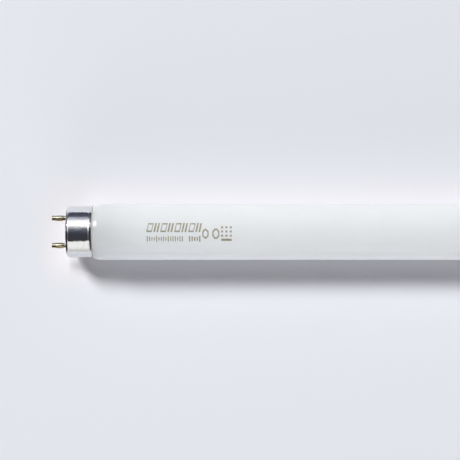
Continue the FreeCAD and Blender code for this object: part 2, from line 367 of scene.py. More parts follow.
def aluminium():
    look = aluminiumFinish
    material, tree, shader = newMaterial("brightAluminium")
    position = objectPosition(tree)
    patch = noiseNode(tree, position, *look["patchNoise"])
    drawn = useGroup(tree, scratches, position=position, **look["drawnLines"])
    cross = useGroup(tree, scratches, position=position, **look["crossLines"])
    lines = mathNode(tree, "MAXIMUM", drawn, cross)
    worn = rangeNode(tree, patch, *look["patchSpan"], 0.0, 1.0, smooth=True)
    wear = weightedSum(tree, (worn, lines), look["wear"], clamp=True)
    wavy = bumpFrom(tree, noiseNode(tree, position, *look["waveNoise"]), 1.0, look["waves"])
    relief = weightedSum(tree, (patch, lines), look["relief"])
    fill(tree, shader, {
        "Base Color": mixColour(tree, wear, look["bright"], look["dull"]),
        "Roughness": rangeNode(tree, wear, 0.0, 1.0, *look["roughness"]),
        "Normal": bumpFrom(tree, relief, 1.0, look["marks"], Normal=wavy),
        "Metallic": 1.0,
    })
    return material


# The contact pins: sizes of the barrel and of the crimp that spreads and dents it
pin = {
    "radius": 1.15 * mm,
    "shankRadius": 1.45 * mm,
    "rootRadius": 1.1 * mm,
    "bulge": 0.18 * mm,
    "crimpMiddle": 3.45 * mm,  # from the cap face
    "crimpHalf": 2.6 * mm,     # from the middle to where the barrel is straight again
    "crimpSteps": 64,
    "dentTurn": 44.0,          # degrees from the top
    "dentDepth": 0.36 * mm,
    "dentRound": 16.0 * mm,
    "dentBlend": 0.10 * mm,    # rounding of the dent's edge
    "leastLean": 0.01,         # keeps the dent's reach finite where it lies edge on
    "edge": 0.15 * mm,
    "edgeSteps": 6,
    "wireRadius": 0.25 * mm,
    "rivetThickness": 0.4 * mm,
    "discFront": 0.3 * mm,     # behind the cap face
    "around": 128,
}

# Brass of the pins
brassFinish = {
    "bright": (0.90, 0.85, 0.66, 1.0),
    "tarnished": (0.37, 0.265, 0.13, 1.0),
    "roughness": (0.1, 0.38),
    "blotchNoise": (900.0, 4.0, 0.6),         # scale, detail and roughness
    "blotchSpan": (0.4, 0.8),
    "blotchTarnish": 0.8,
    "drawnLines": {"along": 260.0, "across": 9000.0, "amount": 0.28},
    "lineTarnish": 0.25,
    "dentSpan": (0.09 * mm, -0.08 * mm),      # from the barrel's radius, where a dent turns dull, tarnish with painted shade
    "dentEnd": (0.7, 0.95),                   # where along the crimp's half it fades
    "dentTarnishAndShade": 0.9,
    "tipDarkening": 0.9,
    "tipRun": 0.4 * mm,                       # length of the darker end at the tip
    "pits": (0.1, 0.05 * mm),                 # strength and height
}


def brass():
    look = brassFinish
    material, tree, shader = newMaterial("drawnBrass")
    position = objectPosition(tree)
    blotch = noiseNode(tree, position, *look["blotchNoise"])
    drawn = useGroup(tree, scratches, position=position, **look["drawnLines"])
    tarnishAndShade = rangeNode(tree, blotch, *look["blotchSpan"], 0.0, look["blotchTarnish"], smooth=True)
    lined = product(tree, drawn, look["lineTarnish"])
    tarnishAndShade = mathNode(tree, "ADD", tarnishAndShade, lined, clamp=True)
    # The dents of the crimp are duller and darker, tarnish together with painted shade in the hollows: they
    # lie nearer to the pin's axis than the barrel does
    place = splitVector(tree, position)
    aside = mathNode(tree, "SUBTRACT", absolute(tree, place[1]), pinOffset)
    squares = [product(tree, offset, offset) for offset in (aside, place[2])]
    fromAxis = mathNode(tree, "SQRT", mathNode(tree, "ADD", *squares))
    dentStart, dentFull = (pin["radius"] + offset for offset in look["dentSpan"])
    sunk = rangeNode(tree, fromAxis, dentStart, dentFull, 0.0, 1.0, smooth=True)
    outwards = mathNode(tree, "SUBTRACT", absolute(tree, place[0]), capFace)
    fromMiddle = absolute(tree, mathNode(tree, "SUBTRACT", outwards, pin["crimpMiddle"]))
    fadeStart, fadeEnd = (pin["crimpHalf"] * share for share in look["dentEnd"])
    crimped = rangeNode(tree, fromMiddle, fadeStart, fadeEnd, 1.0, 0.0, smooth=True)
    dull = product(tree, sunk, crimped, look["dentTarnishAndShade"])
    tarnishAndShade = mathNode(tree, "MAXIMUM", tarnishAndShade, dull)
    # The last bit towards the tip is darker too
    length = pinTip - capFace
    cutStart, cutFull = length - look["tipRun"], length - look["tipRun"] / 2
    darkTip = rangeNode(tree, outwards, cutStart, cutFull, 0.0, look["tipDarkening"])
    tarnishAndShade = mathNode(tree, "MAXIMUM", tarnishAndShade, darkTip)
    fill(tree, shader, {
        "Base Color": mixColour(tree, tarnishAndShade, look["bright"], look["tarnished"]),
        "Roughness": rangeNode(tree, tarnishAndShade, 0.0, 1.0, *look["roughness"]),
        "Normal": bumpFrom(tree, blotch, *look["pits"]),
        "Metallic": 1.0,
    })
    return material


# Grainy finishes: pressed laminate of the disc, and baked cement
laminateFinish = {
    "dark": (0.035, 0.018, 0.011, 1.0),
    "light": (0.13, 0.066, 0.036, 1.0),
    "noise": (2600.0, 4.0),
    "span": (0.35, 0.7),
    "grit": (0.3, 0.22, 0.16, 1.0),
    "specks": {"scale": 1500.0, "radius": 0.2, "share": 0.2},
    "weight": 0.3,
    "roughness": (0.38, 0.6),
    "relief": (0.25, 0.06 * mm),
}
cementFinish = {
    "dark": (0.5, 0.42, 0.31, 1.0),
    "light": (0.68, 0.59, 0.46, 1.0),
    "noise": (1800.0, 6.0),
    "span": noiseSpan,
    "grit": (0.25, 0.2, 0.15, 1.0),
    "specks": {"scale": 2200.0, "radius": 0.25, "share": 0.3},
    "weight": 0.5,
    "roughness": 0.85,
    "relief": (0.5, 0.15 * mm),
}


def grainy(name, look):
    material, tree, shader = newMaterial(name)
    position = objectPosition(tree)
    grain = noiseNode(tree, position, *look["noise"])
    colour = mixColour(tree, rangeNode(tree, grain, *look["span"], 0.0, 1.0), look["dark"], look["light"])
    grit = useGroup(tree, specks, position=position, **look["specks"])
    colour = mixColour(tree, product(tree, grit, look["weight"]), colour, look["grit"])
    roughness = look["roughness"]
    if isinstance(roughness, tuple):
        roughness = rangeNode(tree, grain, *noiseSpan, *roughness)
    relief = bumpFrom(tree, grain, *look["relief"])
    fill(tree, shader, {"Base Color": colour, "Roughness": roughness, "Normal": relief})
    return material


# Drawn wire of the leads
wireFinish = {
    "bright": (0.62, 0.58, 0.53, 1.0),
    "dull": (0.36, 0.32, 0.28, 1.0),
    "roughness": (0.22, 0.5),
    "lines": {"along": 200.0, "across": 12000.0, "amount": 0.3},
}


def drawnWire():
    look = wireFinish
    material, tree, shader = newMaterial("drawnWire")
    lines = useGroup(tree, scratches, position=objectPosition(tree), **look["lines"])
    fill(tree, shader, {
        "Base Color": mixColour(tree, lines, look["bright"], look["dull"]),
        "Roughness": rangeNode(tree, lines, 0.0, 1.0, *look["roughness"]),
        "Metallic": 1.0,
    })
    return material


# Ink of the printed marks, worn thin in places
inkFinish = {
    "full": (0.30, 0.28, 0.19, 1.0),
    "thin": (0.44, 0.42, 0.33, 1.0),
    "noise": (900.0, 4.0),
    "span": (0.4, 0.7),
    "roughness": (0.35, 0.55),
}


def printInk():
    look = inkFinish
    material, tree, shader = newMaterial("printInk")
    wear = noiseNode(tree, objectPosition(tree), *look["noise"])
    thin = rangeNode(tree, wear, *look["span"], 0.0, 1.0)
    fill(tree, shader, {
        "Base Color": mixColour(tree, thin, look["full"], look["thin"]),
        "Roughness": rangeNode(tree, wear, *noiseSpan, *look["roughness"]),
    })
    return material


finishes = {
    "glass": coatedGlass(),
    "aluminium": aluminium(),
    "brass": brass(),
    "laminate": grainy("pressedLaminate", laminateFinish),
    "cement": grainy("bakedCement", cementFinish),
    "wire": drawnWire(),
    "ink": printInk(),
}
print("materials made")


# The glass: stem with the exhaust stub, trumpet, bead, neck, shoulder and tube
glass = {
    "neckStep": 2.0 * mm,
    "shoulderRun": 3.2 * mm,  # from the cap mouth to where the glass is straight
    "shoulderDrop": 0.68 * mm,
    "shoulderBend": 1.6,      # 1 for a cone, more for a rounder shoulder
    "shoulderSteps": 17,
    "mouthGap": 0.25 * mm,
    "mouthEdge": 0.15 * mm,
    "mouthTurn": 60.0,        # degrees that this edge turns before the shoulder's curve takes over
    "sealEdge": 1.5 * mm,
    "throatRun": 6.0 * mm,
    "flareBend": (0.55, 0.42),  # the trumpet's middle point, as shares of its run and of its rise
    "stemRadius": 4.4 * mm,
    "stemDepth": 20.0 * mm,
    "stubRadius": 2.0 * mm,
    "stubInset": 2.8 * mm,
    "stubEdge": 0.8 * mm,
    "edgeSteps": 4,
    "sealSteps": 6,
    "around": 192,
    "span": 50 * mm,          # length of the faces along the tube
}


def glassOutline():
    # One half, from the tip of the stub round to the middle of the tube
    stub, stem = glass["stubRadius"], glass["stemRadius"]
    neck = tubeRadius - glass["neckStep"]
    straight = capMouth - glass["shoulderRun"]
    pinch = capFace - glass["stemDepth"]
    throat = glassEnd - glass["throatRun"]
    stubTip = capFace - glass["stubInset"]
    stubEdge = glass["stubEdge"]
    points = [(stubTip, 0.0)]
    points += arcPoints((stubTip - stubEdge, stub - stubEdge), stubEdge, 0, 90, glass["edgeSteps"])
    points += [(pinch, stub), (pinch, stem), (throat, stem)]
    bead = neck - glass["sealEdge"]
    run, rise = glass["flareBend"]
    points += [(throat + glass["throatRun"] * run, stem + (bead - stem) * rise)]
    points += arcPoints((glassEnd - glass["sealEdge"], bead), glass["sealEdge"], 0, 90, glass["sealSteps"])
    # The shoulder steps out just past the cap's mouth and bends ever less towards the straight part
    step = capMouth - glass["mouthGap"]
    edge = glass["mouthEdge"]
    curveRun = step - edge - straight
    shoulderTop = tubeRadius - glass["shoulderDrop"]
    points += [(step, neck), (step, shoulderTop - edge)]
    turn = glass["mouthTurn"]
    points += arcPoints((step - edge, shoulderTop - edge), edge, 0, turn, glass["edgeSteps"])[1:]
    for place in range(glass["shoulderSteps"] + 1):
        along = 1 - place / glass["shoulderSteps"]
        drop = glass["shoulderDrop"] * along ** glass["shoulderBend"]
        points.append((straight + curveRun * along, tubeRadius - drop))
    spans = int(straight / glass["span"])
    for span in range(1, spans):
        points.append((straight * (1 - span / spans), tubeRadius))
    return points


outline = glassOutline()
wholeOutline = outline + [(0.0, tubeRadius)] + [(-x, radius) for x, radius in reversed(outline)]
glassMesh = turnedMesh("coated_glass_tube", wholeOutline, glass["around"])
glassPiece = finishMesh("coated_glass_tube", glassMesh, finishes["glass"], sharpAngle=50.0)
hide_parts("glass_tube")
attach(glassPiece, "root")
print("glass made")


# Printed marks on the glass, as plain bars, rings and dots laid on the curve by Geometry Nodes
printed = {
    "thickness": 0.012 * mm,
    "sunk": 0.004 * mm,       # how far the ink's underside lies in the glass
    "seed": 7,
    # In millimetres, for each row of bars: columns and their pitch, rows' pitch, rows, first X, first Y,
    # width, height, slant, and how uneven their heights are
    "rows": {
        "top_first_bars": (4, 6.4, 0.0, 1, -708.6, 2.02, 0.8, 4.2, 0.22, 0.0),
        "top_second_bars": (4, 6.4, 0.0, 1, -707.15, 2.02, 0.8, 4.2, 0.22, 0.0),
        "lower_bars": (16, 1.07, 0.0, 1, -712.2, -3.2, 0.5, 2.9, 0.0, 0.5),
        "lower_pair": (5, 1.16, 0.0, 1, -692.8, -3.2, 0.62, 2.9, 0.0, 0.4),
        "end_dots": (3, 2.0, 1.9, 3, -677.95, -1.7, 0.95, 0.95, 0.0, 0.0),
        "end_bar": (1, 1.0, 0.0, 1, -675.95, -3.65, 4.9, 1.1, 0.0, 0.0),
    },
    # In millimetres, for each row of rings: count, pitch, first X, middle Y, half width, half height,
    # sides, turn in degrees, slant
    "rings": {
        "top_boxes": (4, 6.4, -710.95, 2.02, 1.85, 2.95, 4, 45.0, 0.22),
        "hexagon": (1, 1.0, -685.55, -0.85, 1.65, 2.5, 6, 30.0, 0.0),
        "octagon": (1, 1.0, -680.8, -0.85, 1.75, 2.6, 8, 22.5, 0.0),
    },
    "ringStroke": 0.62,       # width of a ring's line, in millimetres
    "barVertices": (3, 7),
    "ringCuts": 2,
    "weld": 0.001 * mm,
}


def newGeometryTree(name, inputs):
    return newGroup(name, "GeometryNodeTree", "Geometry", "NodeSocketGeometry", inputs)


def pointPlace(tree):
    return splitVector(tree, outputOf(tree, "GeometryNodeInputPosition"))


def wrapOnTube(tree, geometry, source):
    # Bends what lies flat on the XY plane onto the glass, and keeps its height as height above the glass
    place = pointPlace(tree)
    angle = mathNode(tree, "DIVIDE", place[1], source["Radius"])
    reach = mathNode(tree, "ADD", place[2], source["Radius"])
    across = product(tree, reach, mathNode(tree, "SINE", angle))
    upwards = product(tree, reach, mathNode(tree, "COSINE", angle))
    bent = joinVector(tree, {0: place[0], 1: across, 2: upwards})
    return outputOf(tree, "GeometryNodeSetPosition", {"Geometry": geometry, "Position": bent})


def finishInk(tree, geometry, source, result):
    # Gives the flat shapes their thickness, bends them and sets the ink
    raised = outputOf(tree, "GeometryNodeExtrudeMesh", {"Mesh": geometry, "Offset Scale": source["Thickness"],
                                                        "Individual": False})
    both = addNode(tree, "GeometryNodeJoinGeometry")
    tree.links.new(outputOf(tree, "GeometryNodeFlipFaces", {0: geometry}), both.inputs[0])
    tree.links.new(raised, both.inputs[0])
    welded = outputOf(tree, "GeometryNodeMergeByDistance", {0: both.outputs[0], "Distance": printed["weld"]})
    real = outputOf(tree, "GeometryNodeRealizeInstances", {0: wrapOnTube(tree, welded, source)})
    inked = outputOf(tree, "GeometryNodeSetMaterial", {"Geometry": real, "Material": source["Material"]})
    tree.links.new(inked, result["Geometry"])


def pointLine(tree, count, start, offset):
    return outputOf(tree, "GeometryNodeMeshLine", {
        "Count": count, "Start Location": joinVector(tree, start), "Offset": joinVector(tree, offset)})


def copiesOn(tree, points, instance, **others):
    inputs = {"Points": points, "Instance": instance, **others}
    spread = outputOf(tree, "GeometryNodeInstanceOnPoints", inputs)
    return outputOf(tree, "GeometryNodeRealizeInstances", {0: spread})


def floatInputs(*labels):
    return [(label, "NodeSocketFloat", mm) for label in labels]


sharedInputs = floatInputs("Radius", "Thickness", "Sunk") + [("Material", "NodeSocketMaterial", None)]


def barTree():
    # Rows and columns of slanted bars of uneven height
    inputs = [(label, "NodeSocketInt", 1) for label in ("Columns", "Rows", "Seed")]
    inputs += floatInputs("Column Pitch", "Row Pitch", "First X", "First Y", "Width", "Height", "Slant",
                          "Uneven")
    tree, source, result = newGeometryTree("printedBars", inputs + sharedInputs)
    first = {0: source["First X"], 1: source["First Y"]}
    columns = pointLine(tree, source["Columns"], first, {0: source["Column Pitch"]})
    spots = copiesOn(tree, columns, pointLine(tree, source["Rows"], {}, {1: source["Row Pitch"]}))
    verticesX, verticesY = printed["barVertices"]
    bar = outputOf(tree, "GeometryNodeMeshGrid", {"Size X": source["Width"], "Size Y": source["Height"],
                                                  "Vertices X": verticesX, "Vertices Y": verticesY})
    lean = product(tree, pointPlace(tree)[1], source["Slant"])
    lower = product(tree, source["Sunk"], -1.0)
    bar = outputOf(tree, "GeometryNodeSetPosition", {"Geometry": bar,
                                                     "Offset": joinVector(tree, {0: lean, 2: lower})})
    height = addNode(tree, "FunctionNodeRandomValue", data_type="FLOAT")
    shortest = mathNode(tree, "SUBTRACT", 1.0, source["Uneven"])
    fill(tree, height, {2: shortest, 3: 1.0, "Seed": source["Seed"]})
    scale = joinVector(tree, {0: 1.0, 1: height.outputs[1], 2: 1.0})
    finishInk(tree, copiesOn(tree, spots, bar, Scale=scale), source, result)
    return tree


def ringTree():
    # A row of many-sided rings
    inputs = [("Sides", "NodeSocketInt", 6), ("Count", "NodeSocketInt", 1)]
    inputs += floatInputs("Pitch", "First X", "Middle Y", "Half Width", "Half Height", "Stroke", "Turn",
                          "Slant")
    tree, source, result = newGeometryTree("printedRing", inputs + sharedInputs)
    disc = outputOf(tree, "GeometryNodeMeshCircle", {"Vertices": source["Sides"], "Radius": 1.0},
                    fill_type="NGON")
    inner = addNode(tree, "GeometryNodeExtrudeMesh", {"Mesh": disc, "Offset Scale": 0.0}).outputs
    shrink = mathNode(tree, "SUBTRACT", 1.0, mathNode(tree, "DIVIDE", source["Stroke"], source["Half Width"]))
    sized = outputOf(tree, "GeometryNodeScaleElements", {"Geometry": inner["Mesh"], "Selection": inner["Top"],
                                                         "Scale": shrink})
    ring = outputOf(tree, "GeometryNodeDeleteGeometry", {"Geometry": sized, "Selection": inner["Top"]},
                    domain="FACE")
    ring = outputOf(tree, "GeometryNodeTransform", {"Geometry": ring,
                                                    "Rotation": joinVector(tree, {2: source["Turn"]})})
    place = pointPlace(tree)
    tall = product(tree, place[1], source["Half Height"])
    wide = product(tree, place[0], source["Half Width"])
    lean = product(tree, tall, source["Slant"])
    lower = product(tree, source["Sunk"], -1.0)
    moved = joinVector(tree, {0: mathNode(tree, "ADD", wide, lean), 1: tall, 2: lower})
    ring = outputOf(tree, "GeometryNodeSetPosition", {"Geometry": ring, "Position": moved})
    fine = outputOf(tree, "GeometryNodeSubdivideMesh", {"Mesh": ring, "Level": printed["ringCuts"]})
    first = {0: source["First X"], 1: source["Middle Y"]}
    spots = pointLine(tree, source["Count"], first, {0: source["Pitch"]})
    finishInk(tree, copiesOn(tree, spots, fine), source, result)
    return tree


def fromTree(name, tree, values):
    # Sets the tree's inputs by their identifiers, and turns what it makes into a plain mesh
    carrier = bpy.data.objects.new("carrier", bpy.data.meshes.new("carrier"))
    bpy.context.scene.collection.objects.link(carrier)
    modifier = carrier.modifiers.new("print", "NODES")
    modifier.node_group = tree
    values = values | {"Radius": tubeRadius, "Thickness": printed["thickness"], "Sunk": printed["sunk"],
                       "Material": finishes["ink"]}
    for item in tree.interface.items_tree:
        if item.in_out == "INPUT":
            modifier[item.identifier] = values[item.name]
    evaluated = carrier.evaluated_get(bpy.context.evaluated_depsgraph_get())
    mesh = bpy.data.meshes.new_from_object(evaluated)
    mesh.name = name
    bpy.data.objects.remove(carrier)
    return mesh


def makePrint():
    meshes = []
    bars = barTree()
    for row, numbers in printed["rows"].items():
        columns, columnPitch, rowPitch, rows, firstX, firstY, width, height, slant, uneven = numbers
        meshes.append(fromTree(row, bars, {
            "Columns": columns, "Rows": rows, "Seed": printed["seed"], "Column Pitch": columnPitch * mm,
            "Row Pitch": rowPitch * mm, "First X": firstX * mm, "First Y": firstY * mm,
            "Width": width * mm, "Height": height * mm, "Slant": slant, "Uneven": uneven}))
    rings = ringTree()
    for row, numbers in printed["rings"].items():
        count, pitch, firstX, middleY, halfWidth, halfHeight, sides, turn, slant = numbers
        meshes.append(fromTree(row, rings, {
            "Sides": sides, "Count": count, "Pitch": pitch * mm, "First X": firstX * mm,
            "Middle Y": middleY * mm, "Half Width": halfWidth * mm, "Half Height": halfHeight * mm,
            "Stroke": printed["ringStroke"] * mm, "Turn": radians(turn), "Slant": slant}))
    whole = bmesh.new()
    for mesh in meshes:
        whole.from_mesh(mesh)
        bpy.data.meshes.remove(mesh)
    bmesh.ops.recalc_face_normals(whole, faces=whole.faces)
    joined = bpy.data.meshes.new("printed_marks")
    whole.to_mesh(joined)
    whole.free()
    joined.materials.append(finishes["ink"])
    piece = bpy.data.objects.new("printed_marks", joined)
    bpy.context.scene.collection.objects.link(piece)
    # Ink this thin shades nothing inside the glass
    piece.visible_shadow = False
    piece.visible_diffuse = False
    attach(piece, "root")
    print("print made,", len(joined.polygons), "faces")


makePrint()


# The aluminium caps
cap = {
    "wall": 0.3 * mm,
    "corner": 1.6 * mm,
    "crease": 0.65 * mm,
    "faceRing": 2.07 * mm,
    "fuller": 0.12 * mm,      # how far the rim's crest stands past the solid's
    "rimRise": 0.15 * mm,
    "rimStart": 1.6 * mm,
    "rimCrest": 0.95 * mm,
    "rimFall": 0.15 * mm,
    "rimEdge": 0.1 * mm,
    "rimTurn": (75, 180),     # degrees from which to which that edge is rounded
    "rimBend": 1.6,           # above 1, the rim falls ever faster towards the mouth
    "sideSpans": 6,
    "cornerSteps": 12,
    "rimSteps": 8,
    "edgeSteps": 4,
    "around": 192,
}


def capOutline():
    rim = rimRadius + cap["fuller"]
    side = rim - cap["rimRise"]
    inside = side - cap["wall"]
    opening = side - cap["faceRing"]
    corner = cap["corner"]
    rimStart = capMouth + cap["rimStart"]
    crest = capMouth + cap["rimCrest"]
    edge = cap["rimEdge"]
    points = [(capFace - cap["wall"], opening), (capFace, opening)]
    points += arcPoints((capFace - corner, side - corner), corner, 0, 90, cap["cornerSteps"])
    for step in range(1, cap["sideSpans"]):
        along = (rimStart - capFace + corner) * step / cap["sideSpans"]
        points.append((capFace - corner + along, side))
    for step in range(cap["rimSteps"] + 1):
        part = step / cap["rimSteps"]
        rise = cap["rimRise"] * (1 - cos(pi * part)) / 2
        points.append((rimStart + (crest - rimStart) * part, side + rise))
    for step in range(1, cap["rimSteps"] + 1):
        part = step / cap["rimSteps"]
        drop = cap["rimFall"] * part ** cap["rimBend"]
        points.append((crest + (capMouth + edge - crest) * part, rim - drop))
    lip = (capMouth + edge, rim - cap["rimFall"] - edge)
    points += arcPoints(lip, edge, *cap["rimTurn"], cap["edgeSteps"])
    points += [(capMouth, inside), (capFace - cap["wall"] - cap["crease"], inside)]
    points += [(capFace - cap["wall"], inside - cap["crease"])]
    return points


for end, way in ends.items():
    outline = [(x * way, radius) for x, radius in capOutline()]
    name = f"aluminium_cap_{end}"
    mesh = turnedMesh(name, outline, cap["around"], closed=True)
    piece = finishMesh(name, mesh, finishes["aluminium"])
    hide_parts(f"cap_shell_{end}")
    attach(piece, "root")
print("caps made")


# The contact pins, spread and dented by the crimp
def pinOutline():
    # From the rivet head behind the disc to the tip, as (distance outwards from the cap face, radius)
    back = pinBack - capFace
    tip = pinTip - capFace
    rivetFront = back + pin["rivetThickness"]
    discFront = -pin["discFront"]
    shank = pin["shankRadius"]
    points = [(back, pin["wireRadius"]), (back, rivetRadius), (rivetFront, rivetRadius), (rivetFront, shank),
              (discFront, shank), (discFront, pin["rootRadius"])]
    # The crimp spreads the barrel to a slim spindle
    for step in range(pin["crimpSteps"] + 1):
        part = step / pin["crimpSteps"]
        outwards = pin["crimpMiddle"] + pin["crimpHalf"] * (2 * part - 1)
        straight = pin["rootRadius"] + (pin["radius"] - pin["rootRadius"]) * part
        rise = (1 - cos(tau * part)) / 2
        points.append((outwards, straight + (pin["radius"] + pin["bulge"] - straight) * rise))
    edge = pin["edge"]
    points += arcPoints((tip - edge, pin["radius"] - edge), edge, 90, 0, pin["edgeSteps"])
    points += [(tip, pin["wireRadius"])]
    return points


def pinShape(way):
    # The jaws leave a hollow above and below, round along the pin and straight across it, with soft edges
    crest = pin["radius"] + pin["bulge"]
    faceBounce = radians(pin["dentTurn"]) * way
    blend = pin["dentBlend"]

    def reach(x, radius, angle):
        along = abs(x * way - capFace - pin["crimpMiddle"])
        if along > pin["crimpHalf"] or radius < pin["rootRadius"]:
            return radius
        hollow = pin["dentRound"] - sqrt(pin["dentRound"]**2 - along**2)
        dentFloor = crest - pin["dentDepth"] + hollow
        dent = dentFloor / max(abs(cos(angle - faceBounce)), pin["leastLean"])
        if abs(dent - radius) > blend:
            return min(dent, radius)
        return min(dent, radius) - (blend - abs(dent - radius))**2 / (4 * blend)

    return reach


for end, way in ends.items():
    for side, hand in pinSides.items():
        name = f"brass_pin_{end}_{side}"
        outline = [((capFace + outwards) * way, radius) for outwards, radius in pinOutline()]
        mesh = turnedMesh(name, outline, pin["around"], closed=True, centre=(pinOffset * hand, 0.0),
                          shape=pinShape(way))
        piece = finishMesh(name, mesh, finishes["brass"])
        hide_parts(f"contact_pin_{end}_{side}")
        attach(piece, "root")
print("pins made")


# The other solids keep their meshes and get their finishes
for end in ends:
    for node, material in ((f"insulating_disc_{end}", "laminate"), (f"cement_ring_{end}", "cement"),
                           (f"lead_wire_{end}_front", "wire"), (f"lead_wire_{end}_rear", "wire")):
        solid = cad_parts[node]
        if not solid.material_slots:
            solid.data.materials.append(finishes[material])
        for slot in solid.material_slots:
            slot.material = finishes[material]
print("solids dressed")


# The floor, the studio and the camera
floor = {
    "size": 12.0,
    "roughness": 0.9,
    "colour": (0.895, 0.915, 0.965, 1.0),
    "nearBounceLight": (0.922, 0.910, 0.943, 1.0),  # painted bounce light, where light bounces off the tube onto the paper
    "nearRun": (4 * mm, 19 * mm),              # from the object's edge, full to none
    "faceBounceLight": (0.985, 0.965, 0.995, 1.0),  # painted bounce light in front of the cap faces
    "faceRun": (2 * mm, 16 * mm),
    "faceMiddle": -7 * mm,
    "faceSpread": (5 * mm, 19 * mm),           # to either side of that middle
    "paperEdge": 0.155,                        # half the width of the paper that metal reflects
    "behind": (0.07, 0.075, 0.10, 1.0),        # past the paper on the rear side
    "before": (0.60, 0.60, 0.585, 1.0),        # past the paper on the front side
    "paperEnd": 0.016,                         # how far the paper reaches past the cap faces, for metal
    "paperSplay": 0.7,                         # how far that is at least, for each metre of Y
    # How bright metal sees the paper, by Y in metres: a painted reflection, darker on the front side and
    # brighter on the rear
    "paperPaintedReflection": [
        (-0.150, 1.0),
        (-0.070, 0.97),
        (-0.034, 0.87),
        (-0.015, 0.86),
        (0.015, 1.0),
        (0.050, 1.055),
        (0.150, 1.055),
    ],
    # What metal sees past the paper's ends, by Y in metres
    "pastEnd": [
        (-0.020, (0.02, 0.02, 0.025)),
        (0.001, (0.02, 0.02, 0.025)),
        (0.006, (0.62, 0.62, 0.66)),
        (0.017, (0.62, 0.62, 0.66)),
        (0.024, (0.10, 0.105, 0.12)),
        (0.060, (0.20, 0.21, 0.23)),
    ],
}


def makeFloor():
    half = floor["size"] / 2
    corners = [(-half, -half), (half, -half), (half, half), (-half, half)]
    mesh = bpy.data.meshes.new("pale_floor")
    mesh.from_pydata([(x, y, floorHeight) for x, y in corners], [], [(0, 1, 2, 3)])
    material, tree, shader = newMaterial("paleFloor")
    place = splitVector(tree, objectPosition(tree))
    across = place[1]
    beyondFace = mathNode(tree, "SUBTRACT", absolute(tree, place[0]), capFace)
    beyondSide = mathNode(tree, "SUBTRACT", absolute(tree, across), tubeRadius)
    outside = [mathNode(tree, "MAXIMUM", beyond, 0.0) for beyond in (beyondFace, beyondSide)]
    squares = [mathNode(tree, "POWER", beyond, 2.0) for beyond in outside]
    distance = mathNode(tree, "SQRT", mathNode(tree, "ADD", *squares))
    # Painted bounce light: paler paper around the tube and in front of the cap faces
    near = rangeNode(tree, distance, *floor["nearRun"], 1.0, 0.0, smooth=True)
    colour = mixColour(tree, near, floor["colour"], floor["nearBounceLight"])
    aside = absolute(tree, mathNode(tree, "SUBTRACT", across, floor["faceMiddle"]))
    faceBounce = mathNode(tree, "GREATER_THAN", beyondFace, 0.0)
    for offset, run in ((beyondFace, floor["faceRun"]), (aside, floor["faceSpread"])):
        faceBounce = product(tree, faceBounce, rangeNode(tree, offset, *run, 1.0, 0.0, smooth=True))
    colour = mixColour(tree, faceBounce, colour, floor["faceBounceLight"])
    # Metal sees the paper a little brighter or darker, a painted reflection, and something else past the
    # paper's edges
    glossy = addNode(tree, "ShaderNodeLightPath").outputs["Is Glossy Ray"]
    paintedReflection = rampAlong(tree, across, [(where, (level, level, level)) for where, level in floor["paperPaintedReflection"]])
    inMetal = mixColour(tree, 1.0, colour, paintedReflection, blend="MULTIPLY")
    fill(tree, shader, {
        "Base Color": mixColour(tree, glossy, colour, inMetal),
        "Roughness": floor["roughness"],
        "Specular IOR Level": 0.0,
    })
    pastSide = mathNode(tree, "GREATER_THAN", absolute(tree, across), floor["paperEdge"])
    reach = product(tree, absolute(tree, across), floor["paperSplay"])
    pastEnd = mathNode(tree, "GREATER_THAN", beyondFace, mathNode(tree, "MAXIMUM", reach, floor["paperEnd"]))
    rearSide = mathNode(tree, "GREATER_THAN", across, 0.0)
    cardColour = mixColour(tree, rearSide, floor["before"], floor["behind"])
    cardColour = mixColour(tree, pastEnd, cardColour, rampAlong(tree, across, floor["pastEnd"]))
    card = outputOf(tree, "ShaderNodeEmission", {0: cardColour})
    swapFor = product(tree, mathNode(tree, "MAXIMUM", pastSide, pastEnd), glossy)
    output = shader.outputs[0].links[0].to_node
    mix = addNode(tree, "ShaderNodeMixShader", {0: swapFor, 1: shader.outputs[0], 2: card})
    tree.links.new(mix.outputs[0], output.inputs["Surface"])
    plane = bpy.data.objects.new("pale_floor", mesh)
    mesh.materials.append(material)
    bpy.context.scene.collection.objects.link(plane)


makeFloor()

